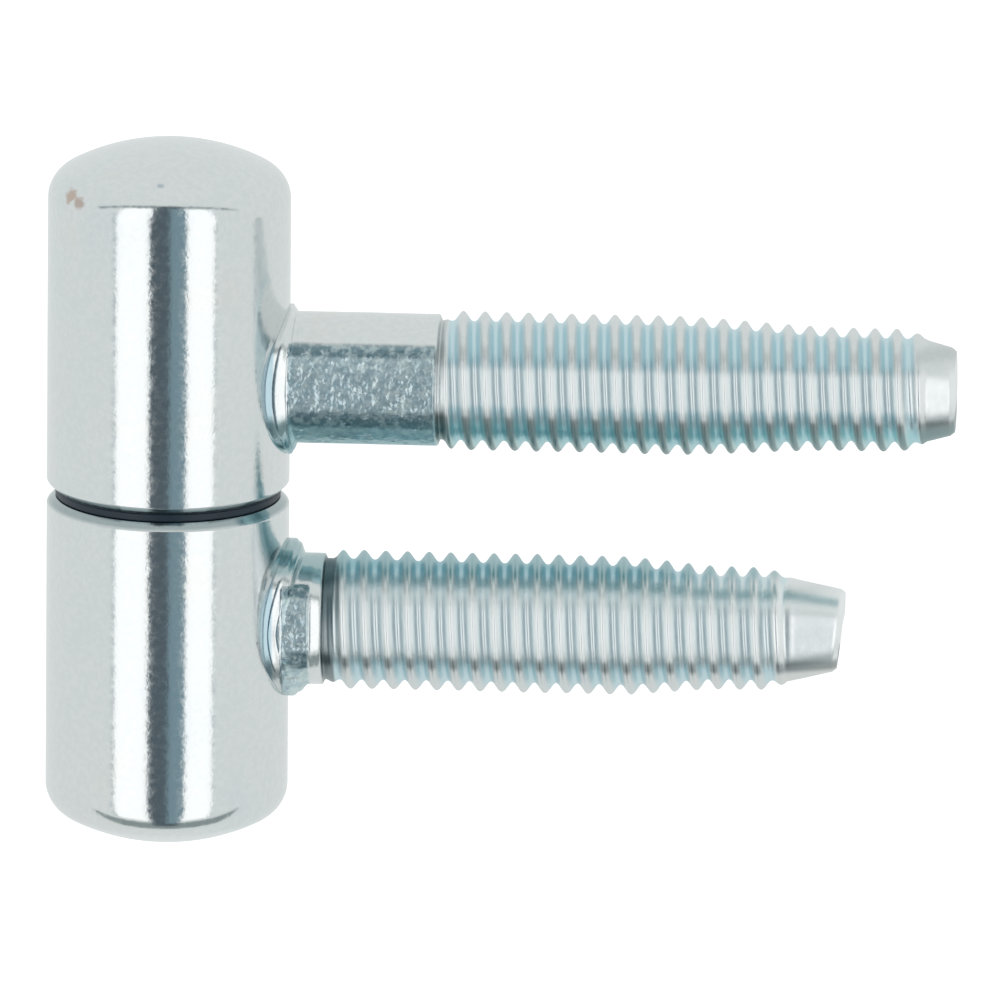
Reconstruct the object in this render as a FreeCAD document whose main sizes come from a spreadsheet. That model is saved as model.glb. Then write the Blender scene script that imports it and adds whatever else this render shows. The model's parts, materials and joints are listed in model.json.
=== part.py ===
import FreeCAD, Part
import math
import os
from FreeCAD import Rotation, Vector
import Sketcher

# Drill-in lift-off barrel hinge, in millimetres.
# Two round barrels stand one on the other on a fixed pin, with a thin thrust washer between them.
# The lower barrel belongs to the door frame and the upper one to the door leaf.
# Each barrel carries a stud that is welded to its side and screws into wood.
# Origin: on the frame stud's axis, where its thread starts.
# +X runs along the studs to their points, +Z up along the hinge axis.

SIZES = {
    # barrels
    "barrel_dia": 14.0,
    "barrel_height": 20.4,
    "crown_radius": 12.5,
    "shoulder_radius": 2.0,
    "seam_chamfer": 0.45,
    # pin, its press seat in the frame barrel and its running bore in the leaf barrel
    "pin_dia": 7.0,
    "pin_seat": 14.0,
    "pin_reach": 15.0,
    "pin_chamfer": 0.6,
    "bore_clearance": 0.05,
    "bore_end_gap": 1.0,
    "bore_chamfer": 0.35,
    # thrust washer
    "washer_dia": 13.0,
    "washer_thickness": 0.5,
    "washer_clearance": 0.15,
    # both studs, diameters
    "thread_dia": 8.0,
    "thread_pitch": 1.25,
    "thread_depth": 0.57,
    "crest_width": 0.2,
    "neck_dia": 7.6,
    "runout_dia": 7.0,
    "pilot_dia": 7.1,
    "point_dia": 5.8,
    "root_flare": 0.4,
    "root_flare_length": 0.6,
    "tip_chamfer": 0.25,
    "flash_round": 0.2,
    # leaf stud, from the barrel's side to the point
    "leaf_stud_height": 6.65,
    "leaf_flash_dia": 8.6,
    "leaf_flash_stand": 0.3,
    "leaf_neck_length": 8.65,
    "leaf_runout_length": 0.45,
    "leaf_first_crest": 1.2,
    "leaf_thread_length": 13.9,
    "leaf_taper_length": 8.1,
    "leaf_pilot_length": 4.3,
    "leaf_shoulder_length": 1.1,
    "leaf_point_length": 1.9,
    "leaf_tip_dia": 5.1,
    # frame stud, from the barrel's side to the point
    "frame_stud_depth": 7.25,
    "frame_flash_dia": 9.2,
    "frame_flash_stand": 0.7,
    "frame_neck_length": 2.1,
    "frame_runout_length": 0.7,
    "frame_first_crest": 0.4,
    "frame_thread_length": 17.0,
    "frame_taper_length": 4.8,
    "frame_pilot_length": 4.0,
    "frame_shoulder_length": 0.8,
    "frame_point_length": 2.7,
    "frame_tip_dia": 4.8,
}

NEAR = 1e-4  # how close two computed lengths are taken as equal

# expressions that more than one piece uses
BARREL_RADIUS = "Sizes.barrel_dia / 2"
PIN_RADIUS = "Sizes.pin_dia / 2"
AXIS_X = "-(Sizes.barrel_dia / 2 + Sizes.frame_neck_length + Sizes.frame_runout_length)"
LEAF_FACE_Z = "Sizes.frame_stud_depth + Sizes.washer_thickness"


def make_sheet(doc):
    """The driving dimensions, one named cell a row."""
    sheet = doc.addObject("Spreadsheet::Sheet", "Sizes")
    for row, (name, number) in enumerate(SIZES.items(), start=1):
        sheet.set("A%d" % row, name)
        sheet.set("B%d" % row, str(number))
        sheet.setAlias("B%d" % row, name)
    doc.recompute()
    return sheet


def value(doc, text):
    """The number that an expression over the sheet gives."""
    return float(doc.Sizes.evalExpression(text.replace("Sizes.", "")))


def origin_feature(body, role):
    """One of the body's own origin planes or axes."""
    return next(f for f in body.Origin.OriginFeatures if f.Role == role)


def new_sketch(body, name, role):
    sketch = body.newObject("Sketcher::SketchObject", name)
    sketch.AttachmentSupport = [(origin_feature(body, role), "")]
    sketch.MapMode = "FlatFace"
    return sketch


def hold_point(sketch, edge, end, across, up):
    """Ties one end of an edge to the sheet. A coordinate of "0" puts it on that axis of the sketch."""
    for kind, axis, text in (("DistanceX", -2, across), ("DistanceY", -1, up)):
        if text == "0":
            sketch.addConstraint(Sketcher.Constraint("PointOnObject", edge, end, axis))
            continue
        number = value(sketch.Document, text)
        index = sketch.addConstraint(Sketcher.Constraint(kind, -1, 1, edge, end, number))
        sketch.setExpression("Constraints[%d]" % index, text)


def draw_outline(body, name, role, corners):
    """A closed outline of straight lines. Each corner is a pair of expressions, across and up."""
    doc = body.Document
    sketch = new_sketch(body, name, role)
    points = [Vector(value(doc, across), value(doc, up), 0) for across, up in corners]
    count = len(points)
    for i in range(count):
        sketch.addGeometry(Part.LineSegment(points[i], points[(i + 1) % count]), False)
    for i in range(count):
        sketch.addConstraint(Sketcher.Constraint("Coincident", i, 2, (i + 1) % count, 1))
    for i, (across, up) in enumerate(corners):
        hold_point(sketch, i, 1, across, up)
    return sketch


def draw_circle(body, name, role, radius):
    """A circle about the body's origin."""
    sketch = new_sketch(body, name, role)
    number = value(body.Document, radius)
    sketch.addGeometry(Part.Circle(Vector(0, 0, 0), Vector(0, 0, 1), number), False)
    sketch.addConstraint(Sketcher.Constraint("Coincident", 0, 3, -1, 1))
    index = sketch.addConstraint(Sketcher.Constraint("Radius", 0, number))
    sketch.setExpression("Constraints[%d]" % index, radius)
    return sketch


def turn(body, kind, name, sketch, axis):
    """A full turn of a sketch about one of its axes, adding or cutting."""
    feature = body.newObject("PartDesign::" + kind, name)
    feature.Profile = sketch
    feature.ReferenceAxis = (sketch, [axis])
    feature.Angle = 360
    body.Document.recompute()
    return feature


def dress(body, kind, name, base, edges, size):
    """A chamfer or fillet of a size from the sheet on the named edges."""
    feature = body.newObject("PartDesign::" + kind, name)
    feature.Base = (base, edges)
    feature.setExpression("Size" if kind == "Chamfer" else "Radius", size)
    body.Document.recompute()
    return feature


def circles_at(shape, radius, height):
    """Names of the round edges about the Z axis with this radius and height."""
    found = []
    for number, edge in enumerate(shape.Edges, start=1):
        if edge.Degenerated or not isinstance(edge.Curve, Part.Circle):
            continue
        centre = edge.Curve.Center
        if abs(edge.Curve.Radius - radius) < NEAR and abs(centre.z - height) < NEAR:
            found.append("Edge%d" % number)
    return found


def place(piece, height):
    """Puts a piece on the hinge axis at a height."""
    piece.setExpression(".Placement.Base.x", AXIS_X)
    piece.setExpression(".Placement.Base.z", height)


def make_barrel(doc, label, bore_radius, bore_depth):
    """A turned barrel on its flat seam face, with a blind bore in that face and a low crown on top."""
    body = doc.addObject("PartDesign::Body", label)
    body.Label = label
    sketch = new_sketch(body, "BarrelOutline", "XZ_Plane")
    wide = value(doc, BARREL_RADIUS)
    tall = value(doc, "Sizes.barrel_height")
    crown = value(doc, "Sizes.crown_radius")
    inner = value(doc, bore_radius)
    deep = value(doc, bore_depth)
    rim = tall - crown + math.sqrt(crown**2 - wide**2)
    half_pi = math.pi / 2
    arc_start = math.acos(wide / crown)
    corners = [Vector(0, deep, 0), Vector(inner, deep, 0), Vector(inner, 0, 0), Vector(wide, 0, 0)]
    corners.append(Vector(wide, rim, 0))
    for start, end in zip(corners, corners[1:]):
        sketch.addGeometry(Part.LineSegment(start, end), False)
    circle = Part.Circle(Vector(0, tall - crown, 0), Vector(0, 0, 1), crown)
    sketch.addGeometry(Part.ArcOfCircle(circle, arc_start, half_pi), False)
    sketch.addGeometry(Part.LineSegment(Vector(0, tall, 0), corners[0]), False)
    for first, second in ((0, 1), (1, 2), (2, 3)):
        sketch.addConstraint(Sketcher.Constraint("Coincident", first, 2, second, 1))
    sketch.addConstraint(Sketcher.Constraint("Coincident", 3, 2, 4, 1))
    sketch.addConstraint(Sketcher.Constraint("Coincident", 4, 2, 5, 1))
    sketch.addConstraint(Sketcher.Constraint("Coincident", 5, 2, 0, 1))
    hold_point(sketch, 0, 1, "0", bore_depth)
    hold_point(sketch, 1, 1, bore_radius, bore_depth)
    hold_point(sketch, 2, 1, bore_radius, "0")
    hold_point(sketch, 3, 1, BARREL_RADIUS, "0")
    sketch.addConstraint(Sketcher.Constraint("Vertical", 3))
    sketch.addConstraint(Sketcher.Constraint("PointOnObject", 4, 3, -2))
    hold_point(sketch, 5, 1, "0", "Sizes.barrel_height")
    index = sketch.addConstraint(Sketcher.Constraint("Radius", 4, crown))
    sketch.setExpression("Constraints[%d]" % index, "Sizes.crown_radius")
    feature = turn(body, "Revolution", "Barrel", sketch, "V_Axis")
    edges = circles_at(feature.Shape, wide, rim)
    feature = dress(body, "Fillet", "Shoulder", feature, edges, "Sizes.shoulder_radius")
    edges = circles_at(feature.Shape, wide, 0)
    feature = dress(body, "Chamfer", "SeamEdge", feature, edges, "Sizes.seam_chamfer")
    edges = circles_at(feature.Shape, inner, 0)
    dress(body, "Chamfer", "BoreMouth", feature, edges, "Sizes.bore_chamfer")
    return body


def make_leaf_barrel(doc):
    """The upper barrel. Its bore runs on the pin and is a little deeper than the pin reaches."""
    bore_radius = PIN_RADIUS + " + Sizes.bore_clearance"
    bore_depth = "Sizes.pin_reach + Sizes.bore_end_gap"
    body = make_barrel(doc, "leaf_barrel", bore_radius, bore_depth)
    place(body, LEAF_FACE_Z)
    return body


def make_frame_barrel(doc):
    """The lower barrel, the same turning upside down. The pin is pressed to the floor of its bore."""
    body = make_barrel(doc, "frame_barrel", PIN_RADIUS, "Sizes.pin_seat")
    body.Placement.Rotation = Rotation(Vector(1, 0, 0), 180)
    place(body, "Sizes.frame_stud_depth")
    return body


def make_hinge_pin(doc):
    """The plain pin, chamfered at both ends."""
    body = doc.addObject("PartDesign::Body", "hinge_pin")
    body.Label = "hinge_pin"
    length = "Sizes.pin_seat + Sizes.washer_thickness + Sizes.pin_reach"
    sketch = draw_circle(body, "PinSection", "XY_Plane", PIN_RADIUS)
    feature = body.newObject("PartDesign::Pad", "Pin")
    feature.Profile = sketch
    feature.setExpression("Length", length)
    doc.recompute()
    radius = value(doc, PIN_RADIUS)
    edges = circles_at(feature.Shape, radius, 0) + circles_at(feature.Shape, radius, value(doc, length))
    dress(body, "Chamfer", "PinEnds", feature, edges, "Sizes.pin_chamfer")
    place(body, "Sizes.frame_stud_depth - Sizes.pin_seat")
    return body


def make_thrust_washer(doc):
    """A flat ring that lies on the frame barrel and carries the leaf barrel."""
    disc = doc.addObject("Part::Cylinder", "WasherDisc")
    disc.setExpression("Radius", "Sizes.washer_dia / 2")
    disc.setExpression("Height", "Sizes.washer_thickness")
    hole = doc.addObject("Part::Cylinder", "WasherHole")
    hole.setExpression("Radius", PIN_RADIUS + " + Sizes.washer_clearance")
    hole.setExpression("Height", "Sizes.washer_thickness")
    ring = doc.addObject("Part::Cut", "thrust_washer")
    ring.Label = "thrust_washer"
    ring.Base = disc
    ring.Tool = hole
    place(ring, "Sizes.frame_stud_depth")
    return ring


def thread_outline(doc, side, start):
    """Corners of the thread's ridges, rings one pitch apart that stand for its helix.

    The crests are flat and keep the thread's diameter over its full length. Beyond it they are sharp, and
    fall over the taper to the pilot's diameter.
    """
    room = "Sizes.{0}_thread_length + Sizes.{0}_taper_length + Sizes.{0}_pilot_length".format(side)
    first = "Sizes.%s_first_crest" % side
    full_length = value(doc, "Sizes.%s_thread_length" % side)
    last = int((value(doc, room) - value(doc, first)) / value(doc, "Sizes.thread_pitch"))
    corners = []
    for ridge in range(last + 1):
        along = "%s + %d * Sizes.thread_pitch" % (first, ridge)
        beyond = "(%s - Sizes.%s_thread_length) / Sizes.%s_taper_length" % (along, side, side)
        fall = "(Sizes.thread_dia - Sizes.pilot_dia) / 2 * max(0; min(1; %s))" % beyond
        crest = "Sizes.thread_dia / 2 - " + fall
        middle = start + " + " + along
        corners.append((middle + " - Sizes.thread_pitch / 2", crest + " - Sizes.thread_depth"))
        if value(doc, along) > full_length:
            corners.append((middle, crest))
        else:
            corners.append((middle + " - Sizes.crest_width / 2", crest))
            corners.append((middle + " + Sizes.crest_width / 2", crest))
    corners.append((middle + " + Sizes.thread_pitch / 2", crest + " - Sizes.thread_depth"))
    return corners


def stud_outline(doc, side):
    """Corners of half the stud's section, from the hinge axis to the point, as length and radius."""
    lengths = ("neck", "runout", "thread", "taper", "pilot", "shoulder", "point")
    ends = {}
    reach = BARREL_RADIUS
    for part in lengths:
        reach = "%s + Sizes.%s_%s_length" % (reach, side, part)
        ends[part] = reach
    neck = "Sizes.neck_dia / 2"
    runout = "Sizes.runout_dia / 2"
    tip = "Sizes.%s_tip_dia / 2" % side
    flare = neck + " + Sizes.root_flare"
    return [
        ("0", "0"),
        ("0", flare),
        (BARREL_RADIUS + " - Sizes.root_flare_length", flare),
        (BARREL_RADIUS, neck),
        (ends["neck"], neck),
        (ends["neck"], runout),
        *thread_outline(doc, side, ends["runout"]),
        (ends["shoulder"], "Sizes.point_dia / 2"),
        (ends["point"] + " - Sizes.tip_chamfer", tip),
        (ends["point"], tip + " - Sizes.tip_chamfer"),
        (ends["point"], "0"),
    ]


def ring_section(body, name, side, inner, outer):
    """Half the section of a ring about the hinge axis that is taller than the weld flash."""
    half_height = "Sizes.%s_flash_dia" % side
    below = "-" + half_height
    corners = [(inner, below), (outer, below), (outer, half_height), (inner, half_height)]
    return draw_outline(body, name, "XZ_Plane", corners)


def flash_rim(shape):
    """Names of the edges round the outer face of the weld flash."""
    found = []
    for number, edge in enumerate(shape.Edges, start=1):
        if not isinstance(edge.Curve, Part.Line) and edge.BoundBox.XMin > NEAR:
            found.append("Edge%d" % number)
    return found


def make_stud(doc, label, side, height):
    """A stud with its weld flash. It ends on the barrel's side in a saddle."""
    body = doc.addObject("PartDesign::Body", label)
    body.Label = label
    flash_face = BARREL_RADIUS + " + Sizes.%s_flash_stand" % side
    section = draw_circle(body, "FlashSection", "YZ_Plane", "Sizes.%s_flash_dia / 2" % side)
    feature = body.newObject("PartDesign::Pad", "Flash")
    feature.Profile = section
    feature.setExpression("Length", "Sizes.barrel_dia")
    doc.recompute()
    outside = ring_section(body, "OutsideFlash", side, flash_face, "2 * Sizes.barrel_dia")
    feature = turn(body, "Groove", "FlashFace", outside, "V_Axis")
    feature = dress(body, "Fillet", "FlashRim", feature, flash_rim(feature.Shape), "Sizes.flash_round")
    shank = draw_outline(body, "StudOutline", "XZ_Plane", stud_outline(doc, side))
    turn(body, "Revolution", "Stud", shank, "H_Axis")
    barrel = ring_section(body, "BarrelSpace", side, "0", BARREL_RADIUS)
    turn(body, "Groove", "Saddle", barrel, "V_Axis")
    place(body, height)
    return body


def check(doc, pieces):
    """Stops before anything is written if an object failed or a piece isn't one valid solid."""
    for item in doc.Objects:
        if "Invalid" in item.State or "Error" in item.State:
            raise RuntimeError("%s failed: %s" % (item.Name, item.State))
    for piece in pieces:
        shape = piece.Shape
        if shape.isNull() or not shape.isValid() or len(shape.Solids) != 1:
            raise RuntimeError("%s is not one valid solid" % piece.Label)


def main():
    doc = FreeCAD.newDocument("hinge")
    make_sheet(doc)
    pieces = [
        make_leaf_barrel(doc),
        make_frame_barrel(doc),
        make_hinge_pin(doc),
        make_thrust_washer(doc),
        make_stud(doc, "leaf_stud", "leaf", LEAF_FACE_Z + " + Sizes.leaf_stud_height"),
        make_stud(doc, "frame_stud", "frame", "0"),
    ]
    doc.recompute()
    check(doc, pieces)
    os.makedirs("parts", exist_ok=True)
    for piece in pieces:
        piece.Shape.exportStep("parts/%s.step" % piece.Label)
        box = piece.Shape.BoundBox
        print(piece.Label, "volume %.1f" % piece.Shape.Volume, "from z %.2f to %.2f" % (box.ZMin, box.ZMax))


main()
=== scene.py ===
import json
import math

import bpy
import numpy as np
from mathutils import Matrix, Vector


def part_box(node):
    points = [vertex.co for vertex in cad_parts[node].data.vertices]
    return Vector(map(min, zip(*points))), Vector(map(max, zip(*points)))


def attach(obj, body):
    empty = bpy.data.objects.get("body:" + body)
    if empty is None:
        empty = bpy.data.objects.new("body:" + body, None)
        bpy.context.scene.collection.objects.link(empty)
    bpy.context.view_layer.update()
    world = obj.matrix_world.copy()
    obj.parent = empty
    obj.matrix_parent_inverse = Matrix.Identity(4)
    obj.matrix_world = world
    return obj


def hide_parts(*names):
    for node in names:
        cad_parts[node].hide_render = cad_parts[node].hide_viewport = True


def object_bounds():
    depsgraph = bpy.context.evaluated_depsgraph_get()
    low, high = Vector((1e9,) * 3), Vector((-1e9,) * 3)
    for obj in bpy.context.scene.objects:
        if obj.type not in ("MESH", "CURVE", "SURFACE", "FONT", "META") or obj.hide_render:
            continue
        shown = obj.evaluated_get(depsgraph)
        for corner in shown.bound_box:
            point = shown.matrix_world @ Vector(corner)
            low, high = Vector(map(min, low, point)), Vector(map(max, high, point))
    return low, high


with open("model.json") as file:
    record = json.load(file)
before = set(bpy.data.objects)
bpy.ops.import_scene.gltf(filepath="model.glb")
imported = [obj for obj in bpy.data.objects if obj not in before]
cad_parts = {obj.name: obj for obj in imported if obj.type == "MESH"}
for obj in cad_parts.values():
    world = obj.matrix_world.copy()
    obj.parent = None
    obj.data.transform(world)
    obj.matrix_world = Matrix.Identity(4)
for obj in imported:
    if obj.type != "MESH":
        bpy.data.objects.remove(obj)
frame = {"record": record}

# Drill-in lift-off barrel hinge in bright zinc, in metres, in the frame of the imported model.
# The hinge axis is upright, and both studs run along +X to their points.
# Every piece is a closed skin over a grid of points, worked out from a formula.

cad_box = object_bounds()

MM = 0.001
TURN = 2.0 * math.pi

# camera, fitted to the outline of the hinge in the photograph
CAMERA_AZIMUTH = math.radians(3.38)
CAMERA_ELEVATION = math.radians(15.02)
CAMERA_ROLL = math.radians(0.446)
CAMERA_DISTANCE = 2000.0 * MM
CAMERA_TARGET = Vector((9.381 * MM, 0.0, 7.32 * MM))
CAMERA_LENS = 1249.0
FLOOR_DROP = 32.0 * MM
FLOOR_HALF = 4000.0 * MM

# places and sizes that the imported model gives
BARREL_LOW, BARREL_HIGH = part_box("leaf_barrel")
FRAME_BARREL_LOW, FRAME_BARREL_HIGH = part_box("frame_barrel")
PIN_LOW, PIN_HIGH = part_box("hinge_pin")
WASHER_LOW, WASHER_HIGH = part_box("thrust_washer")
AXIS_X = (BARREL_LOW.x + BARREL_HIGH.x) / 2
BARREL_RADIUS = (BARREL_HIGH.x - BARREL_LOW.x) / 2
BARREL_HEIGHT = BARREL_HIGH.z - BARREL_LOW.z
PIN_RADIUS = (PIN_HIGH.x - PIN_LOW.x) / 2
WASHER_RADIUS = (WASHER_HIGH.x - WASHER_LOW.x) / 2
BARREL_SIDE = AXIS_X + BARREL_RADIUS
MOUNTS = {mount["name"]: mount for mount in frame["record"]["mounts"]}

# barrels
CROWN_RADIUS = 12.5 * MM
SHOULDER_RADIUS = 2.0 * MM
SEAM_CHAMFER = 0.45 * MM
BORE_CHAMFER = 0.35 * MM
BORE_CLEARANCE = 0.05 * MM
BORE_END_GAP = 1.0 * MM
WASHER_CLEARANCE = 0.15 * MM
PIN_CHAMFER = 0.6 * MM
TURNED_EDGE = 0.06 * MM
WASHER_EDGE = 0.12 * MM
WASHER_GAP = 0.005 * MM

# threads of both studs
PITCH = 1.25 * MM
THREAD_RADIUS = 4.0 * MM
ROOT_RADIUS = 3.43 * MM
PILOT_RADIUS = 3.55 * MM
PILOT_ROOT_RADIUS = 2.98 * MM
NECK_RADIUS = 3.8 * MM
LAST_CREST_RADIUS = 3.25 * MM
POINT_RADIUS = 2.9 * MM
TIP_CHAMFER = 0.25 * MM
CREST_SHARPNESS = 1.1
FLASH_EASE = 0.5 * MM
FLASH_RISE = 0.1 * MM
FLASH_FALL = 0.2 * MM
FLASH_PEAK = 0.45

# fineness of the skins
BARREL_COLUMNS = 256
STUD_COLUMNS = 120
ROWS_PER_PITCH = 24


def smooth_step(low, high, x):
    """0 below low, 1 above high, and the cubic 3t^2 - 2t^3 between them."""
    t = np.clip((x - low) / (high - low), 0.0, 1.0)
    return t * t * (3.0 - 2.0 * t)


def skin(name, points, attributes=None):
    """A closed skin over a grid of points, rows along the piece and columns round it.

    The last column joins the first. The first and last rows lie in one point each, and close the ends.
    The faces are turned over if the enclosed volume, the sum of a.(b x c)/6 over the triangles, is negative.
    """
    rows, columns = points.shape[:2]
    ring = np.arange(columns)
    after = (ring + 1) % columns
    starts = 1 + np.arange(rows - 3)[:, None] * columns
    next_row = starts + columns
    quads = np.stack([starts + ring, starts + after, next_row + after, next_row + ring], axis=-1)
    quads = quads.reshape(-1, 4)
    last = 1 + (rows - 2) * columns
    rim = last - columns
    first_fan = np.stack([np.zeros(columns, int), after + 1, ring + 1], axis=-1)
    last_fan = np.stack([np.full(columns, last), rim + ring, rim + after], axis=-1)
    vertices = np.concatenate([points[:1, 0], points[1:-1].reshape(-1, 3), points[-1:, 0]])
    triangles = np.concatenate([quads[:, :3], quads[:, [0, 2, 3]], first_fan, last_fan])
    a, b, c = (vertices[triangles[:, k]] for k in range(3))
    if np.einsum("ij,ij->", a, np.cross(b, c)) < 0:
        quads, first_fan, last_fan = quads[:, ::-1], first_fan[:, ::-1], last_fan[:, ::-1]
    mesh = bpy.data.meshes.new(name)
    mesh.from_pydata(vertices.tolist(), [], quads.tolist() + first_fan.tolist() + last_fan.tolist())
    for label, grid in (attributes or {}).items():
        values = np.concatenate([grid[:1, 0], grid[1:-1].ravel(), grid[-1:, 0]])
        attribute = mesh.attributes.new(label, "FLOAT", "POINT")
        attribute.data.foreach_set("value", values.astype(np.float32))
    mesh.shade_smooth()
    piece = bpy.data.objects.new(name, mesh)
    bpy.context.scene.collection.objects.link(piece)
    return piece


def rounded_profile(corners, steps=5):
    """A profile through corners (radius, height, rounding), as an array of radii and heights.

    A rounded corner becomes an arc that is tangent to both runs: its centre lies on the bisector, at
    rounding / sin(half the corner's angle). Two guard points next to each arc keep the shading of the
    runs flat.
    """
    places = [np.array(corner[:2], float) for corner in corners]
    track = [places[0]]
    for k in range(1, len(corners) - 1):
        here, rounding = places[k], corners[k][2]
        back = places[k - 1] - here
        ahead = places[k + 1] - here
        back_length, ahead_length = np.linalg.norm(back), np.linalg.norm(ahead)
        back, ahead = back / back_length, ahead / ahead_length
        half = math.acos(np.clip(back @ ahead, -1.0, 1.0)) / 2
        reach = rounding / math.tan(half)
        bisector = (back + ahead) / np.linalg.norm(back + ahead)
        centre = here + bisector * rounding / math.sin(half)
        begin, end = here + back * reach - centre, here + ahead * reach - centre
        sweep = math.pi - 2 * half
        t = np.linspace(0.0, 1.0, steps + 1)[:, None]
        arc = (np.sin((1 - t) * sweep) * begin + np.sin(t * sweep) * end) / math.sin(sweep) + centre
        guard = 0.6 * rounding
        before, behind = arc[0] + back * guard, arc[-1] + ahead * guard
        track.extend([before, *arc, behind])
    track.append(places[-1])
    return np.array(track)


def turned(name, profile):
    """A turned piece: the profile's radius r and height z swept round the upright hinge axis.

    A point is (axis + r sin a, -r cos a, z), with the angle a from the front.
    """
    angle = np.linspace(0.0, TURN, BARREL_COLUMNS, endpoint=False)
    r, z = profile[:, :1], profile[:, 1:]
    grid = np.stack([AXIS_X + r * np.sin(angle), -r * np.cos(angle), z + 0.0 * angle], axis=-1)
    return skin(name, grid)


def barrel_profile(bore_radius, bore_depth):
    """Half the section of a barrel, from the bore's floor to the apex.

    It is given as radius and height above the seam face.
    The crown is a large arc about a centre on the axis. The shoulder is a small arc that touches the
    crown from inside and the side, so its centre is crown radius - shoulder radius from the crown's centre.
    """
    bore = rounded_profile([
        (0.0, bore_depth, 0.0),
        (bore_radius, bore_depth, 2 * TURNED_EDGE),
        (bore_radius, BORE_CHAMFER, TURNED_EDGE),
        (bore_radius + BORE_CHAMFER, 0.0, TURNED_EDGE),
        (BARREL_RADIUS - SEAM_CHAMFER, 0.0, TURNED_EDGE),
        (BARREL_RADIUS, SEAM_CHAMFER, 2 * TURNED_EDGE),
        (BARREL_RADIUS, BARREL_HEIGHT / 2, 0.0),
    ])
    crown_height = BARREL_HEIGHT - CROWN_RADIUS
    inset = BARREL_RADIUS - SHOULDER_RADIUS
    rise = math.sqrt((CROWN_RADIUS - SHOULDER_RADIUS) ** 2 - inset**2)
    join = math.atan2(rise, inset)
    around = np.linspace(0.0, join, 25)
    shoulder = np.stack([inset + SHOULDER_RADIUS * np.cos(around),
                         crown_height + rise + SHOULDER_RADIUS * np.sin(around)], axis=-1)
    guard = shoulder[:1] - [0.0, 0.1 * SHOULDER_RADIUS]
    over = np.linspace(join, TURN / 4, 28)[1:]
    crown = np.stack([CROWN_RADIUS * np.cos(over), crown_height + CROWN_RADIUS * np.sin(over)], axis=-1)
    crown[-1, 0] = 0.0
    return np.concatenate([bore, guard, shoulder, crown])


def make_barrels():
    """Both barrels: the same outline, the upper one on its seam face and the lower one hanging from it."""
    leaf_bore = PIN_RADIUS + BORE_CLEARANCE
    leaf_depth = PIN_HIGH.z + BORE_END_GAP - BARREL_LOW.z
    leaf = barrel_profile(leaf_bore, leaf_depth)
    leaf[:, 1] += BARREL_LOW.z
    upper = turned("leaf_barrel_turned", leaf)
    fixed = barrel_profile(PIN_RADIUS, FRAME_BARREL_HIGH.z - PIN_LOW.z)
    fixed[:, 1] = FRAME_BARREL_HIGH.z - fixed[:, 1]
    lower = turned("frame_barrel_turned", fixed)
    return upper, lower


def make_pin():
    """The plain pin, chamfered at both ends, the edges slightly rounded."""
    edge = 2 * TURNED_EDGE
    inner = PIN_RADIUS - PIN_CHAMFER
    profile = rounded_profile([
        (0.0, PIN_LOW.z, 0.0),
        (inner, PIN_LOW.z, edge),
        (PIN_RADIUS, PIN_LOW.z + PIN_CHAMFER, edge),
        (PIN_RADIUS, PIN_HIGH.z - PIN_CHAMFER, edge),
        (inner, PIN_HIGH.z, edge),
        (0.0, PIN_HIGH.z, 0.0),
    ])
    return turned("hinge_pin_ground", profile)


def make_washer():
    """The flat ring in the seam, a small gap clear of the faces of both barrels, so that none lie in one plane.

    Its section is a rounded rectangle, carried once round the hinge axis.
    A point is (axis + r sin a, -r cos a, z), where r and z run once round the section.
    """
    inner, outer = PIN_RADIUS + WASHER_CLEARANCE, WASHER_RADIUS
    low, high = WASHER_LOW.z + WASHER_GAP, WASHER_HIGH.z - WASHER_GAP
    middle = (inner + outer) / 2
    section = rounded_profile([
        (middle, low, 0.0),
        (outer, low, WASHER_EDGE),
        (outer, high, WASHER_EDGE),
        (inner, high, WASHER_EDGE),
        (inner, low, WASHER_EDGE),
        (middle, low, 0.0),
    ])[:-1]
    angle = np.linspace(0.0, TURN, BARREL_COLUMNS, endpoint=False)
    r, z = section[:, :1], section[:, 1:]
    grid = np.stack([AXIS_X + r * np.sin(angle), -r * np.cos(angle), z + 0.0 * angle], axis=-1)
    rows, columns = grid.shape[:2]
    here = np.arange(rows)[:, None] * columns + np.arange(columns)
    over, across = np.roll(here, -1, axis=0), np.roll(here, -1, axis=1)
    both = np.roll(over, -1, axis=1)
    faces = np.stack([here, across, both, over], axis=-1).reshape(-1, 4)
    mesh = bpy.data.meshes.new("thrust_washer_ring")
    mesh.from_pydata(grid.reshape(-1, 3).tolist(), [], faces.tolist())
    mesh.shade_smooth()
    piece = bpy.data.objects.new("thrust_washer_ring", mesh)
    bpy.context.scene.collection.objects.link(piece)
    return piece


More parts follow.
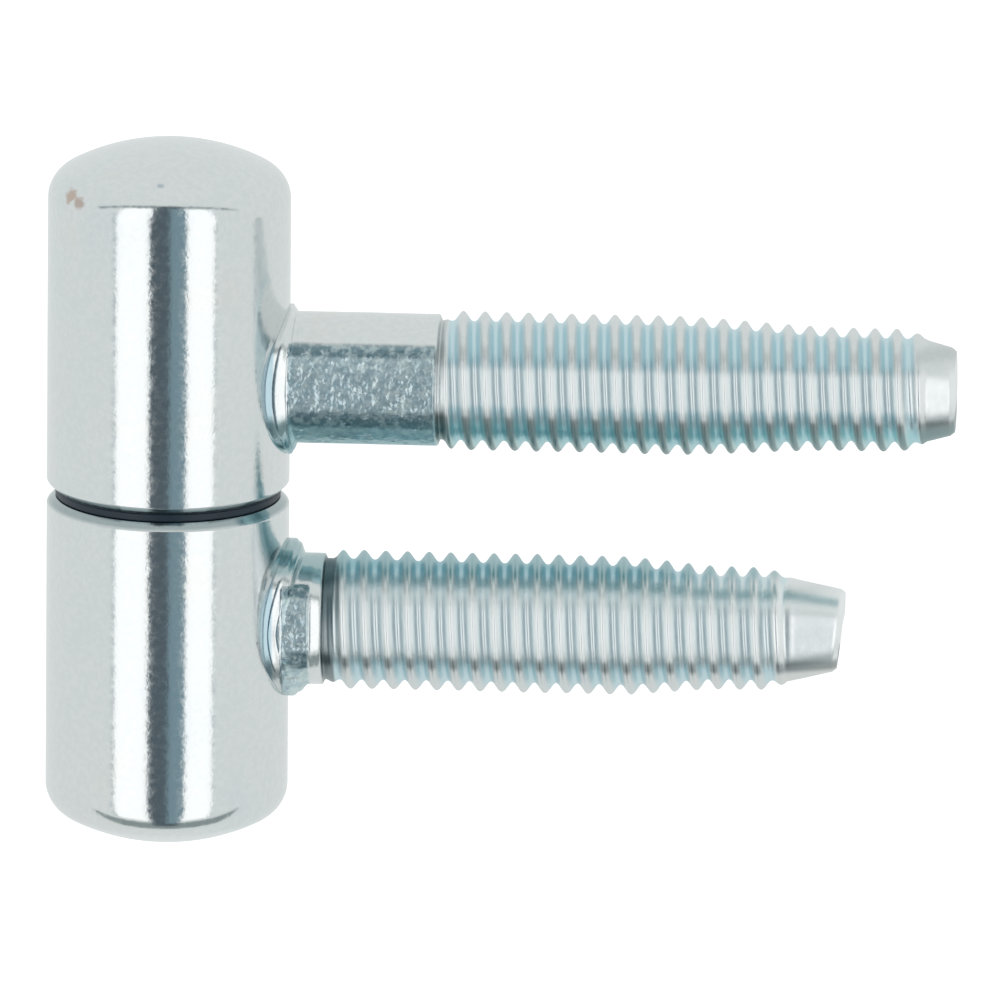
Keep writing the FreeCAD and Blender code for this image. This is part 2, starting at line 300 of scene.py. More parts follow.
# The lengths of a stud are measured from the barrel's side, along the stud.
STUDS = {
    "leaf_stud": {
        "seed": 3,
        "neck_end": 8.65 * MM,
        "runout_end": 9.1 * MM,
        "full_end": 23.0 * MM,
        "pilot_start": 31.1 * MM,
        "pilot_end": 36.4 * MM,
        "point_start": 36.85 * MM,
        "tip": 38.4 * MM,
        "tip_radius": 2.55 * MM,
        "first_crest": 9.99 * MM,
        "first_root": ROOT_RADIUS,
        "tip_slant": 0.0,
        "flash_top": 4.2 * MM,
        "flash_bottom": 4.5 * MM,
        "flash_front": 4.05 * MM,
        "flash_front_end": 0.0,
        "flash_stand": 0.3 * MM,
        "flash_foot": 0.25 * MM,
    },
    "frame_stud": {
        "seed": 8,
        "neck_end": 2.1 * MM,
        "runout_end": 2.8 * MM,
        "full_end": 19.8 * MM,
        "pilot_start": 24.6 * MM,
        "pilot_end": 28.6 * MM,
        "point_start": 29.4 * MM,
        "tip": 31.95 * MM,
        "tip_radius": 2.4 * MM,
        "first_crest": 3.11 * MM,
        "first_root": 3.5 * MM,
        "tip_slant": 0.1,
        "flash_top": 4.65 * MM,
        "flash_bottom": 4.5 * MM,
        "flash_front": 4.08 * MM,
        "flash_front_end": -0.5 * MM,
        "flash_stand": 0.7 * MM,
        "flash_foot": 0.6 * MM,
    },
}


def wander(rng, angle, waves, size):
    """A closed wavy line round the stud: a sum of sines of 1 to so many waves, each with its own phase."""
    total = np.zeros_like(angle)
    for wave in range(1, waves + 1):
        total += rng.uniform(0.3, 1.0) / wave * np.sin(wave * angle + rng.uniform(0.0, TURN))
    return size * total


def stud_rows(stud):
    """Distances along the stud at which the skin has a ring, close together where the form changes."""
    step = PITCH / ROWS_PER_PITCH
    flash = np.linspace(0.0, stud["flash_stand"], 12)
    foot = stud["flash_stand"] + np.linspace(0.03, 1.0, 12) * stud["flash_foot"]
    neck = np.arange(foot[-1] + 0.08 * MM, stud["neck_end"] - 0.1 * MM, 0.25 * MM)
    thread = np.arange(stud["neck_end"] - 0.08 * MM, stud["point_start"] + 0.1 * MM, step)
    point = np.linspace(stud["point_start"] + 0.16 * MM, stud["tip"] - TIP_CHAMFER, 14)
    rim = stud["tip"] - TIP_CHAMFER * np.array([0.9, 0.5, 0.1, 0.0])
    return np.concatenate([flash, foot, neck, thread, point, rim])


def make_stud(name):
    """A stud as one height field over its axis: a point is (x, -r sin a, axis + r cos a), a from the top.

    The crests lie where (s - first crest) / pitch - a / turn is a whole number, which makes a right-hand
    thread. Between them the radius follows half of 1 + cos of the phase, raised to a power, from the crest
    line to the root line, which rounds the roots a little wider than the crests.
    The flash starts on the barrel's own round face, the root of (barrel radius^2 - across^2), and ends nearly
    flat: its end lies further out above and below the axis than in front and behind. In front it first
    rises a little and then falls to the neck.
    """
    stud = STUDS[name]
    rng = np.random.default_rng(stud["seed"])
    axis_z = MOUNTS[name]["pos_m"][2]
    s = stud_rows(stud)[:, None]
    angle = np.linspace(0.0, TURN, STUD_COLUMNS, endpoint=False)[None, :]

    full_end, pilot_start, pilot_end = stud["full_end"], stud["pilot_start"], stud["pilot_end"]
    crest_line = np.interp(s, [full_end, pilot_start, pilot_end - PITCH, pilot_end],
                           [THREAD_RADIUS, PILOT_RADIUS, PILOT_RADIUS, LAST_CREST_RADIUS])
    root_line = np.interp(s, [stud["runout_end"], stud["runout_end"] + 5 * PITCH, full_end, pilot_start],
                          [stud["first_root"], ROOT_RADIUS, ROOT_RADIUS, PILOT_ROOT_RADIUS])
    phase = (s - stud["first_crest"]) / PITCH - angle / TURN
    turns = np.round(phase)
    ridge = (0.5 + 0.5 * np.cos(TURN * (phase - turns))) ** CREST_SHARPNESS
    grow = smooth_step(stud["neck_end"] + 0.1 * MM, stud["runout_end"] + 0.4 * MM, s)
    fade = 1.0 - smooth_step(pilot_end - 0.1 * MM, pilot_end + 0.5 * MM, s)
    uneven = 1.0 + wander(rng, s / (1.7 * MM) + 2.0 * angle, 5, 0.03)
    r = root_line + (crest_line - root_line) * ridge * grow * fade * uneven

    neck = NECK_RADIUS + wander(rng, s / (0.9 * MM) + angle, 4, 0.006 * MM)
    to_neck = 1.0 - smooth_step(stud["neck_end"] - 0.06 * MM, stud["neck_end"] + 0.12 * MM, s)
    r = r * (1.0 - to_neck) + neck * to_neck

    cone = np.interp(s, [pilot_end, stud["point_start"], stud["tip"] - TIP_CHAMFER],
                     [PILOT_ROOT_RADIUS + 0.1 * MM, POINT_RADIUS, stud["tip_radius"]])
    to_cone = smooth_step(pilot_end + 0.1 * MM, stud["point_start"], s)
    r = r * (1.0 - to_cone) + cone * to_cone
    bevel = np.clip(s - (stud["tip"] - TIP_CHAMFER), 0.0, TIP_CHAMFER)
    r = r - bevel * 0.8

    upright = np.abs(np.cos(angle)) ** 1.5
    stand, foot = stud["flash_stand"], stud["flash_foot"]
    over = np.where(np.cos(angle) > 0, stud["flash_top"], stud["flash_bottom"])
    out = np.clip(s / stand, 0.0, 1.0)
    front = stud["flash_front"] - FLASH_RISE * np.clip(1.0 - out / FLASH_PEAK, 0.0, 1.0)
    front = front - FLASH_FALL * np.clip((out - FLASH_PEAK) / (1.0 - FLASH_PEAK), 0.0, 1.0)
    flash = front + (over - front) * upright + wander(rng, angle, 7, 0.03 * MM)
    rounding = 1.0 - 0.05 * upright * smooth_step(0.6, 1.0, out)
    on_flash = 1.0 - smooth_step(stand, stand + foot, s)
    r = np.where(s < stand + foot, NECK_RADIUS + (flash * rounding - NECK_RADIUS) * on_flash, r)

    across = r * np.sin(angle)
    face = np.sqrt(BARREL_RADIUS**2 - np.clip(np.abs(across), 0.0, 0.9 * BARREL_RADIUS) ** 2)
    flash_end = BARREL_RADIUS + stand * upright + stud["flash_front_end"] * (1.0 - upright)
    foot_end = flash_end + foot * (0.75 - 0.25 * np.cos(angle))
    plain_from = stand + foot + FLASH_EASE
    share = [out, np.clip((s - stand) / foot, 0.0, 1.0),
             np.clip((s - stand - foot) / FLASH_EASE, 0.0, 1.0)]
    reach = face + (flash_end - face) * share[0] + (foot_end - flash_end) * share[1]
    reach = reach + (BARREL_RADIUS + plain_from - foot_end) * share[2] + np.clip(s - plain_from, 0.0, None)
    slant = stud["tip_slant"] * r * np.cos(angle) * smooth_step(stud["point_start"], stud["tip"], s)
    x = AXIS_X + reach + slant
    grid = np.stack([x, -across, axis_z + r * np.cos(angle)], axis=-1)

    start = np.array([BARREL_SIDE, 0.0, axis_z])
    end = np.array([BARREL_SIDE + stud["tip"], 0.0, axis_z])
    inside = start + (grid[:1] - start) * np.array([0.0, 0.5, 0.5])
    inside[..., 0] = AXIS_X + np.sqrt(BARREL_RADIUS**2 - inside[..., 1] ** 2)
    outside = end + (grid[-1:] - end) * np.array([1.0, 0.5, 0.5])
    poles = [np.broadcast_to(p, (1, STUD_COLUMNS, 3)) for p in (start, end)]
    grid = np.concatenate([poles[0], inside, grid, outside, poles[1]])
    root = (1.0 - ridge) * grow * fade * (1.0 - to_cone)
    ends = np.zeros((2, STUD_COLUMNS))
    return skin(name + "_rolled", grid, {"root": np.concatenate([ends, root, ends])})


# Shader helpers. An input that is a socket is linked, and a plain value is set on the input itself.

def node(tree, kind, settings=None, **inputs):
    """Adds a node. Settings are its own properties, and inputs are values or sockets by the input's name."""
    made = tree.nodes.new(kind)
    for key, value in (settings or {}).items():
        setattr(made, key, value)
    for key, value in inputs.items():
        socket = made.inputs[int(key[1:])] if key[0] == "_" else made.inputs[key.replace("_", " ")]
        if isinstance(value, bpy.types.NodeSocket):
            tree.links.new(value, socket)
        else:
            socket.default_value = value
    return made


def maths(tree, operation, a, b=0.0, c=0.0):
    """The result of a sum, product or other operation on up to three values."""
    return node(tree, "ShaderNodeMath", {"operation": operation}, _0=a, _1=b, _2=c).outputs[0]


def step_between(tree, value, low, high):
    """A smooth step of a value from 0 at low to 1 at high."""
    settings = {"interpolation_type": "SMOOTHSTEP"}
    made = node(tree, "ShaderNodeMapRange", settings, Value=value, From_Min=low, From_Max=high)
    return made.outputs["Result"]


def window(tree, value, low, high, soft):
    """1 where a value lies between low and high, and 0 outside, with soft edges."""
    inside = step_between(tree, value, low - soft / 2, low + soft / 2)
    return maths(tree, "MULTIPLY", inside, step_between(tree, value, high + soft / 2, high - soft / 2))


def blend_colours(tree, share, a, b, kind="MIX"):
    """Colour a, with colour b mixed in or multiplied by so large a share."""
    made = node(tree, "ShaderNodeMix", {"data_type": "RGBA", "blend_type": kind}, _0=share, _6=a, _7=b)
    return made.outputs[2]


def noise(tree, vector, scale, detail=2.0, roughness=0.5, distortion=0.0):
    """Noise from 0 to 1, with so many cells to the metre."""
    made = node(tree, "ShaderNodeTexNoise", None, Vector=vector, Scale=scale, Detail=detail,
                Roughness=roughness, Distortion=distortion)
    return made.outputs["Fac"]


def new_group(name, inputs, outputs):
    """An empty shader group with its named sockets, its input node and its output node."""
    group = bpy.data.node_groups.new(name, "ShaderNodeTree")
    for label, kind, default in inputs:
        socket = group.interface.new_socket(label, in_out="INPUT", socket_type=kind)
        if default is not None:
            socket.default_value = default
    for label, kind in outputs:
        group.interface.new_socket(label, in_out="OUTPUT", socket_type=kind)
    return group, group.nodes.new("NodeGroupInput"), group.nodes.new("NodeGroupOutput")


def use_group(tree, group, **inputs):
    """Adds a shader group with its inputs by name."""
    return node(tree, "ShaderNodeGroup", {"node_tree": group}, **inputs)


# the colour of the zinc where it is clean
ZINC = (0.80, 0.825, 0.825, 1.0)


def zinc_bloom_group():
    """Zinc plating: a cloudy tint, a fine mottle and the height of its grain.

    Clouds a few millimetres wide lean the colour to straw or to blue. The mottle is two layers of noise,
    a third and a tenth of a millimetre wide, and it gives the height and a little of the roughness.
    """
    group, given, result = new_group(
        "Zinc bloom",
        [("Vector", "NodeSocketVector", None), ("Colour", "NodeSocketColor", ZINC),
         ("Straw", "NodeSocketFloat", 0.5), ("Roughness", "NodeSocketFloat", 0.14),
         ("Grain", "NodeSocketFloat", 0.5)],
        [("Colour", "NodeSocketColor"), ("Roughness", "NodeSocketFloat"), ("Height", "NodeSocketFloat")])
    vector = given.outputs["Vector"]
    clouds = noise(group, vector, 190.0, 3.0, 0.55, 0.6)
    straw = maths(group, "MULTIPLY", step_between(group, clouds, 0.52, 0.72), given.outputs["Straw"])
    blue = maths(group, "MULTIPLY", step_between(group, clouds, 0.48, 0.28), given.outputs["Straw"])
    colour = blend_colours(group, straw, given.outputs["Colour"], (0.84, 0.80, 0.70, 1.0))
    colour = blend_colours(group, blue, colour, (0.66, 0.76, 0.82, 1.0))
    coarse = noise(group, vector, 2600.0, 2.0, 0.6)
    fine = noise(group, vector, 8000.0, 2.0, 0.5)
    mottle = maths(group, "ADD", maths(group, "MULTIPLY", coarse, 0.75), maths(group, "MULTIPLY", fine, 0.25))
    spread = maths(group, "MULTIPLY", maths(group, "SUBTRACT", mottle, 0.5), given.outputs["Grain"])
    rough = maths(group, "ADD", given.outputs["Roughness"], maths(group, "MULTIPLY", spread, 0.25))
    speck = maths(group, "MULTIPLY", step_between(group, mottle, 0.60, 0.42), 0.10)
    colour = blend_colours(group, speck, colour, (0.45, 0.52, 0.56, 1.0))
    group.links.new(colour, result.inputs["Colour"])
    group.links.new(rough, result.inputs["Roughness"])
    group.links.new(mottle, result.inputs["Height"])
    return group


def scaled_skin_group():
    """The neck's pitted skin: soft lumps with a few deeper dimples.

    The lumps are two layers of noise, 0.7 and 0.25 mm wide. The dimples are the middles of the Voronoi
    cells of a coarser pattern, where a slow noise lets them through. Height is the lumps less the dimples.
    """
    group, given, result = new_group(
        "Scaled skin",
        [("Vector", "NodeSocketVector", None)],
        [("Height", "NodeSocketFloat"), ("Dimples", "NodeSocketFloat")])
    vector = given.outputs["Vector"]
    small, large = noise(group, vector, 4200.0, 1.0), noise(group, vector, 1500.0, 1.5)
    lumps = maths(group, "MULTIPLY_ADD", small, 0.3, large)
    cells = node(group, "ShaderNodeTexVoronoi", {"feature": "F1"}, Vector=vector, Scale=1500.0,
                 Randomness=1.0)
    middle = step_between(group, cells.outputs["Distance"], 0.42, 0.10)
    let_through = step_between(group, noise(group, vector, 600.0), 0.48, 0.60)
    dimples = maths(group, "MULTIPLY", middle, let_through)
    height = maths(group, "MULTIPLY_ADD", dimples, -0.6, lumps)
    group.links.new(height, result.inputs["Height"])
    group.links.new(dimples, result.inputs["Dimples"])
    return group


def stain_group():
    """A small stain: 1 within Radius of Centre, with a ragged edge that noise moves in and out."""
    group, given, result = new_group(
        "Small stain",
        [("Vector", "NodeSocketVector", None), ("Centre", "NodeSocketVector", None),
         ("Radius", "NodeSocketFloat", 0.0005)],
        [("Mask", "NodeSocketFloat")])
    apart = node(group, "ShaderNodeVectorMath", {"operation": "DISTANCE"},
                 _0=given.outputs["Vector"], _1=given.outputs["Centre"]).outputs["Value"]
    ragged = noise(group, given.outputs["Vector"], 1800.0, 2.0, 0.6)
    share = maths(group, "DIVIDE", apart, given.outputs["Radius"])
    share = maths(group, "ADD", share, maths(group, "MULTIPLY", maths(group, "SUBTRACT", ragged, 0.5), 1.6))
    group.links.new(step_between(group, share, 1.2, 0.5), result.inputs["Mask"])
    return group


BLOOM = zinc_bloom_group()
SCALED = scaled_skin_group()
STAIN = stain_group()


def new_material(name):
    """A node material with a bare Principled shader, its tree, and its Object coordinates."""
    material = bpy.data.materials.new(name)
    material.use_nodes = True
    tree = material.node_tree
    shader = tree.nodes["Principled BSDF"]
    vector = tree.nodes.new("ShaderNodeTexCoord").outputs["Object"]
    return material, tree, shader, vector


def bump(tree, shader, height, distance):
    """Bumps the shader's surface by a height, where 1 is so large a distance."""
    made = node(tree, "ShaderNodeBump", None, Strength=1.0, Distance=distance, Height=height)
    tree.links.new(made.outputs["Normal"], shader.inputs["Normal"])


# stains on the upper barrel: place and radius in millimetres, and colour
CROWN_STAINS = [
    ((-15.21, -3.97, 25.92), 0.50, (0.56, 0.38, 0.28, 1.0)),
    ((-14.69, -4.81, 25.61), 0.42, (0.48, 0.34, 0.27, 1.0)),
    ((-9.94, -5.34, 26.95), 0.22, (0.42, 0.50, 0.58, 1.0)),
]


# The tones of each stud, by height above its axis in millimetres. They paint the light and dark bands that
# the photograph shows on the studs, so they stay on the metal in any light and pose. Two heights bound the
# pale zone of the thread and the dark runs and dashes of its crests. The shade of the side that faces the
# other stud sets in between shade_from and shade_to. The pits lie between two distances from the barrel's
# side. Beyond them the shading, but not the outline, slopes down by the lip's height, so that the strip
# catches the light as it does there. The groove is dark by its share.
STUD_TONES = {
    "leaf_stud": {
        "pale": (-0.7, 1.7),
        "crest_run": (-4.4, -1.15),
        "crest_dash": (2.2, 2.8),
        "shade_from": -1.1,
        "shade_to": -2.2,
        "neck_shade": (0.66, 0.84, 0.87, 1.0),
        "thread_shade": (0.74, 0.93, 0.93, 1.0),
        "pits": (0.1, 8.55),
        "lip": 0.0,
        "groove": 0.0,
    },
    "frame_stud": {
        "pale": (-1.5, 3.0),
        "crest_run": (-1.95, -1.2),
        "crest_dash": (2.45, 2.85),
        "shade_from": 3.05,
        "shade_to": 3.5,
        "neck_shade": (0.56, 0.70, 0.72, 1.0),
        "thread_shade": (0.50, 0.70, 0.74, 1.0),
        "pits": (-0.2, 1.35),
        "lip": 0.2,
        "groove": 0.75,
    },
}

# the pits of both necks, in millimetres: their depth, the heights between which they fade out at the top,
# and the painted dark reflection lines along their edges, each from, to and softness
PIT_DEPTH = 0.055
PITS_TOP = (2.45, 2.75)
PAINTED_NECK_LINES = [(2.05, 2.72, 0.2), (-2.15, -1.1, 0.3)]


def barrel_zinc(name, stains=()):
    """Bright zinc on turned steel, with any small stains, and a band of painted shade next to the seam, as
    photographed.
    """
    material, tree, shader, vector = new_material(name)
    bloom = use_group(tree, BLOOM, Vector=vector, Straw=0.16, Roughness=0.13, Grain=1.4)
    colour, rough = bloom.outputs["Colour"], bloom.outputs["Roughness"]
    for place, radius, tone in stains:
        stain = use_group(tree, STAIN, Vector=vector, Centre=[k * MM for k in place], Radius=radius * MM)
        colour = blend_colours(tree, maths(tree, "MULTIPLY", stain.outputs["Mask"], 0.65), colour, tone)
        rough = maths(tree, "ADD", rough, maths(tree, "MULTIPLY", stain.outputs["Mask"], 0.3))
    level = node(tree, "ShaderNodeSeparateXYZ", None, Vector=vector).outputs["Z"]
    seam = (WASHER_LOW.z + WASHER_HIGH.z) / 2
    from_seam = maths(tree, "ABSOLUTE", maths(tree, "SUBTRACT", level, seam))
    # A band of painted shade on the chamfers of both barrels beside the seam.
    painted_seam_shade = maths(tree, "MULTIPLY", step_between(tree, from_seam, 0.75 * MM, 0.5 * MM), 0.75)
    colour = blend_colours(tree, painted_seam_shade, colour, (0.38, 0.46, 0.48, 1.0), "MULTIPLY")
    tree.links.new(colour, shader.inputs["Base Color"])
    tree.links.new(rough, shader.inputs["Roughness"])
    shader.inputs["Metallic"].default_value = 1.0
    bump(tree, shader, bloom.outputs["Height"], 0.008 * MM)
    return material


def stud_zinc(stud_name):
    """Zinc on a rolled stud: pale on the crests, blue-green in the roots, pitted on the neck.

    Heights are measured from the stud's axis. The neck's top is smooth, and painted dark reflections run
    along both edges of its pits. The thread has a painted highlight halfway up, and painted dark reflections
    on its crests in runs and dashes. The side that faces the other stud has painted shade, and the flash is
    bluer. All this follows the photograph.
    """
    stud, tones = STUDS[stud_name], STUD_TONES[stud_name]
    material, tree, shader, vector = new_material(stud_name.replace("_", " ") + " zinc")
    root = node(tree, "ShaderNodeAttribute", {"attribute_name": "root"}).outputs["Fac"]
    parts = node(tree, "ShaderNodeSeparateXYZ", None, Vector=vector).outputs
    x = maths(tree, "SUBTRACT", parts["X"], BARREL_SIDE)
    height = maths(tree, "SUBTRACT", parts["Z"], MOUNTS[stud_name]["pos_m"][2])
    neck_end = stud["neck_end"]
    zones = {key: [k * MM for k in tones[key]] for key in ("pale", "crest_run", "crest_dash", "pits")}
    neck = window(tree, x, *zones["pits"], 0.2 * MM)
    mottle = step_between(tree, noise(tree, vector, 1900.0, 3.0, 0.6), 0.40, 0.60)
    # Painted dark reflections: lines along both edges of the neck's pits, made patchy by the mottle.
    lines = maths(tree, "ADD", *[window(tree, height, *[k * MM for k in line]) for line in PAINTED_NECK_LINES])
    patchy = maths(tree, "MULTIPLY_ADD", mottle, 0.4, 0.45)
    lines = maths(tree, "MULTIPLY", maths(tree, "MULTIPLY", lines, neck), patchy)
    pitted = maths(tree, "MULTIPLY", neck, step_between(tree, height, PITS_TOP[1] * MM, PITS_TOP[0] * MM))
    rolled = step_between(tree, x, neck_end - 0.1 * MM, neck_end + 0.1 * MM)
    # The pale zone is a painted highlight halfway up the thread, and it also thins the roots' blue-green there.
    pale = maths(tree, "MULTIPLY", rolled, window(tree, height, *zones["pale"], 0.6 * MM))
    bloom = use_group(tree, BLOOM, Vector=vector, Straw=0.25, Roughness=0.17, Grain=0.8)
    scaled = use_group(tree, SCALED, Vector=vector)
    painted_highlight_share = maths(tree, "MULTIPLY", pale, 0.9)
    colour = blend_colours(tree, painted_highlight_share, bloom.outputs["Colour"], (0.97, 0.99, 0.985, 1.0))
    deep = step_between(tree, root, 0.15, 0.85)
    tinted = maths(tree, "MULTIPLY", deep, maths(tree, "MULTIPLY_ADD", pale, -0.65, 1.0))
    colour = blend_colours(tree, tinted, colour, (0.64, 0.81, 0.86, 1.0))
    colour = blend_colours(tree, pitted, colour, (0.88, 0.99, 1.0, 1.0), "MULTIPLY")
    mottled = maths(tree, "MULTIPLY", pitted, mottle)
    colour = blend_colours(tree, mottled, colour, (0.76, 0.83, 0.87, 1.0), "MULTIPLY")
    dimple = maths(tree, "MULTIPLY", scaled.outputs["Dimples"], pitted)
    colour = blend_colours(tree, maths(tree, "MULTIPLY", dimple, 0.3), colour, (0.55, 0.60, 0.66, 1.0))
    colour = blend_colours(tree, lines, colour, (0.30, 0.38, 0.42, 1.0), "MULTIPLY")
    shaded = step_between(tree, height, tones["shade_from"] * MM, tones["shade_to"] * MM)
    shade = blend_colours(tree, rolled, tones["neck_shade"], tones["thread_shade"])
    colour = blend_colours(tree, shaded, colour, shade, "MULTIPLY")
    # Painted dark reflections on the crests: runs and dashes at set heights above the axis.
    crest = maths(tree, "MULTIPLY", step_between(tree, root, 0.40, 0.12), rolled)
    dash, run = (window(tree, height, *zones[key], 0.5 * MM) for key in ("crest_dash", "crest_run"))
    dark = maths(tree, "MULTIPLY", crest, maths(tree, "MULTIPLY_ADD", dash, 0.3, run))
    dark = maths(tree, "MULTIPLY", dark, 0.68)
    colour = blend_colours(tree, dark, colour, (0.22, 0.26, 0.27, 1.0), "MULTIPLY")
    # Painted shade in the run-out groove, stronger above the stud's axis.
    groove = window(tree, x, neck_end, stud["runout_end"], 0.15 * MM)
    groove_shade_share = maths(tree, "MULTIPLY_ADD", step_between(tree, height, 0.0, 1.5 * MM), 0.2, tones["groove"])
    groove_shade_share = maths(tree, "MULTIPLY", groove, groove_shade_share)
    colour = blend_colours(tree, groove_shade_share, colour, (0.14, 0.20, 0.22, 1.0), "MULTIPLY")
    bluer = step_between(tree, x, -0.6 * MM, -0.8 * MM)
    colour = blend_colours(tree, maths(tree, "MULTIPLY", bluer, 0.85), colour, (0.37, 0.53, 0.60, 1.0))
    tree.links.new(colour, shader.inputs["Base Color"])
    duller = maths(tree, "MULTIPLY_ADD", rolled, 0.18, bloom.outputs["Roughness"])
    tree.links.new(maths(tree, "MULTIPLY_ADD", pitted, 0.2, duller), shader.inputs["Roughness"])
    shader.inputs["Metallic"].default_value = 1.0
    pits = maths(tree, "MULTIPLY", scaled.outputs["Height"], maths(tree, "MULTIPLY", pitted, 2.4))
    lip = step_between(tree, x, zones["pits"][1], neck_end + 0.1 * MM)
    relief = maths(tree, "MULTIPLY_ADD", lip, -tones["lip"] / PIT_DEPTH, pits)
    bump(tree, shader, maths(tree, "MULTIPLY_ADD", bloom.outputs["Height"], 0.15, relief), PIT_DEPTH * MM)
    return material


def washer_polymer():
    """Thin dark blue-black polymer, matte, with a faint grain."""
    material, tree, shader, vector = new_material("Washer polymer")
    grain = noise(tree, vector, 5000.0, 2.0)
    colour = blend_colours(tree, grain, (0.004, 0.014, 0.028, 1.0), (0.010, 0.030, 0.050, 1.0))
    tree.links.new(colour, shader.inputs["Base Color"])
    tree.links.new(maths(tree, "MULTIPLY_ADD", grain, 0.2, 0.35), shader.inputs["Roughness"])
    bump(tree, shader, grain, 0.01 * MM)
    return material


def ground_steel():
    """The pin's ground steel: fine rings round the axis, and a film of oil in patches."""
    material, tree, shader, vector = new_material("Ground pin steel")
    stretched = node(tree, "ShaderNodeMapping", None, Vector=vector, Scale=(300.0, 300.0, 9000.0)).outputs[0]
    rings = noise(tree, stretched, 1.0, 3.0, 0.6)
    film = noise(tree, vector, 260.0, 3.0, 0.55, 0.5)
    oily = step_between(tree, film, 0.45, 0.65)
    colour = blend_colours(tree, oily, (0.70, 0.70, 0.71, 1.0), (0.60, 0.59, 0.56, 1.0))
    tree.links.new(colour, shader.inputs["Base Color"])
    tree.links.new(maths(tree, "MULTIPLY_ADD", rings, 0.2, 0.12), shader.inputs["Roughness"])
    shader.inputs["Metallic"].default_value = 1.0
    bump(tree, shader, rings, 0.004 * MM)
    return material


# The room round the hinge, in degrees, seen from the hinge. Azimuth 0 is square to the studs, positive to
# the right, and the tilt is the angle above the level as the room is seen from its side, so that the upper
# and lower edges of the panels are straight bars across it. Each panel covers the ones before it.
ROOM_GREY = (0.78, 0.81, 0.805, 1.0)
ROOM_PANELS = [
    # azimuth from, to, tilt from, to, softness, colour
    (-73.0, 77.0, -82.0, -57.0, 4.0, (0.28, 0.33, 0.33, 1.0)),
    (-72.0, 74.0, 51.0, 59.0, 2.0, (0.32, 0.37, 0.38, 1.0)),
    (-15.0, 20.4, -70.0, 58.0, 2.0, (0.10, 0.13, 0.15, 1.0)),
    (4.5, 20.4, -57.0, 50.0, 3.0, (0.21, 0.31, 0.36, 1.0)),
    (-47.7, -14.5, -49.0, 49.0, 1.2, (1.26, 1.26, 1.26, 1.0)),
    (20.7, 47.7, -49.0, 49.0, 1.2, (1.26, 1.26, 1.26, 1.0)),
    (-51.0, -48.2, -49.0, 49.0, 0.8, (0.55, 0.60, 0.62, 1.0)),
    (48.1, 49.9, -49.0, 49.0, 0.8, (0.55, 0.60, 0.62, 1.0)),
]


def light_room():
    """The room as the world's light: pale grey, with two tall soft boxes and a dark gap between them.

    The camera's own rays see plain white instead.
    """
    world = bpy.data.worlds.new("Studio room")
    world.use_nodes = True
    tree = world.node_tree
    background = tree.nodes["Background"]
    direction = tree.nodes.new("ShaderNodeTexCoord").outputs["Generated"]
    parts = node(tree, "ShaderNodeSeparateXYZ", None, Vector=direction).outputs
    towards = maths(tree, "MULTIPLY", parts["Y"], -1.0)
    azimuth = maths(tree, "DEGREES", maths(tree, "ARCTAN2", parts["X"], towards))
    tilt = maths(tree, "DEGREES", maths(tree, "ARCTAN2", parts["Z"], towards))
    colour = ROOM_GREY
    for left, right, low, high, soft, tone in ROOM_PANELS:
        wide, tall = window(tree, azimuth, left, right, soft), window(tree, tilt, low, high, soft)
        colour = blend_colours(tree, maths(tree, "MULTIPLY", wide, tall), colour, tone)
    seen = tree.nodes.new("ShaderNodeLightPath").outputs["Is Camera Ray"]
    tree.links.new(blend_colours(tree, seen, colour, (1.0, 1.0, 1.0, 1.0)), background.inputs["Color"])
    bpy.context.scene.world = world


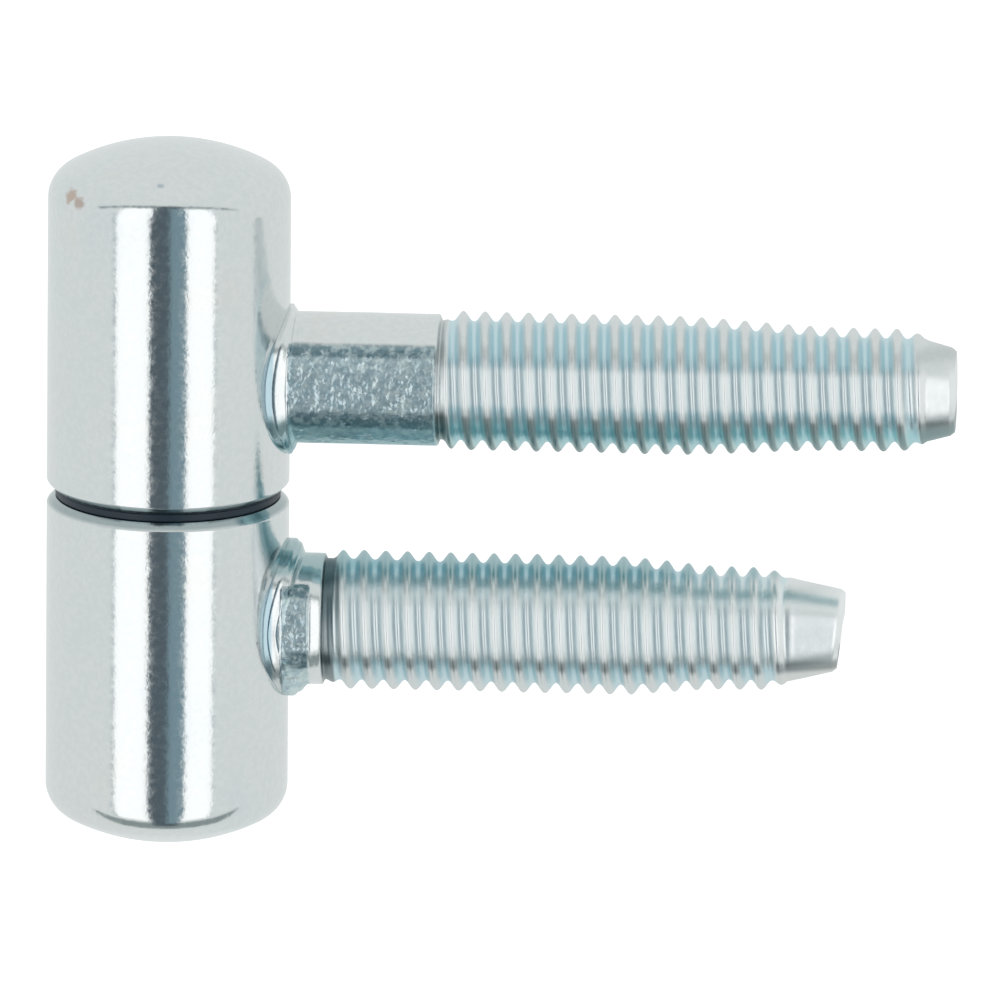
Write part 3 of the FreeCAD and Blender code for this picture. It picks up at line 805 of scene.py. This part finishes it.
def make_floor():
    """A plain pale floor below the hinge. The camera sees it a little brighter than it is lit."""
    low = cad_box[0].z - FLOOR_DROP
    signs = [(-1, -1), (1, -1), (1, 1), (-1, 1)]
    corners = [(across * FLOOR_HALF, deep * FLOOR_HALF, low) for across, deep in signs]
    mesh = bpy.data.meshes.new("floor")
    mesh.from_pydata(corners, [], [(0, 1, 2, 3)])
    floor = bpy.data.objects.new("floor", mesh)
    bpy.context.scene.collection.objects.link(floor)
    material = bpy.data.materials.new("Pale floor")
    material.use_nodes = True
    tree = material.node_tree
    shader = tree.nodes["Principled BSDF"]
    shader.inputs["Base Color"].default_value = (0.8, 0.8, 0.8, 1.0)
    shader.inputs["Roughness"].default_value = 0.9
    shader.inputs["Specular IOR Level"].default_value = 0.0
    shader.inputs["Emission Color"].default_value = (1.0, 1.0, 1.0, 1.0)
    seen = tree.nodes.new("ShaderNodeLightPath").outputs["Is Camera Ray"]
    tree.links.new(maths(tree, "MULTIPLY", seen, 0.52), shader.inputs["Emission Strength"])
    mesh.materials.append(material)
    floor.visible_glossy = False


def make_camera():
    """The photograph's view: round the target by azimuth, up by elevation, then turned about its own axis."""
    a, e = CAMERA_AZIMUTH, CAMERA_ELEVATION
    back = Vector((math.sin(a) * math.cos(e), -math.cos(a) * math.cos(e), math.sin(e)))
    right = Vector((math.cos(a), math.sin(a), 0.0))
    up = back.cross(right)
    turned_right = math.cos(CAMERA_ROLL) * right + math.sin(CAMERA_ROLL) * up
    turned_up = math.cos(CAMERA_ROLL) * up - math.sin(CAMERA_ROLL) * right
    place = CAMERA_TARGET + CAMERA_DISTANCE * back
    data = bpy.data.cameras.new("camera")
    data.lens = CAMERA_LENS
    data.sensor_width = 36.0
    data.clip_start = 0.01
    data.clip_end = 20.0
    camera = bpy.data.objects.new("camera", data)
    bpy.context.scene.collection.objects.link(camera)
    turn = Matrix((turned_right, turned_up, back)).transposed()
    camera.matrix_world = Matrix.Translation(place) @ turn.to_4x4()
    bpy.context.scene.camera = camera


def dress(piece, material, body, node_name):
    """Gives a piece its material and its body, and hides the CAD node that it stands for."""
    piece.data.materials.append(material)
    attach(piece, body)
    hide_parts(node_name)


make_camera()
make_floor()
light_room()

upper_barrel, lower_barrel = make_barrels()
dress(upper_barrel, barrel_zinc("Upper barrel zinc", CROWN_STAINS), "leaf", "leaf_barrel")
dress(lower_barrel, barrel_zinc("Lower barrel zinc"), "frame", "frame_barrel")
dress(make_pin(), ground_steel(), "frame", "hinge_pin")
dress(make_washer(), washer_polymer(), "washer", "thrust_washer")
for stud_name, body_name in (("leaf_stud", "leaf"), ("frame_stud", "frame")):
    dress(make_stud(stud_name), stud_zinc(stud_name), body_name, stud_name)

bpy.context.scene.view_settings.view_transform = "Standard"
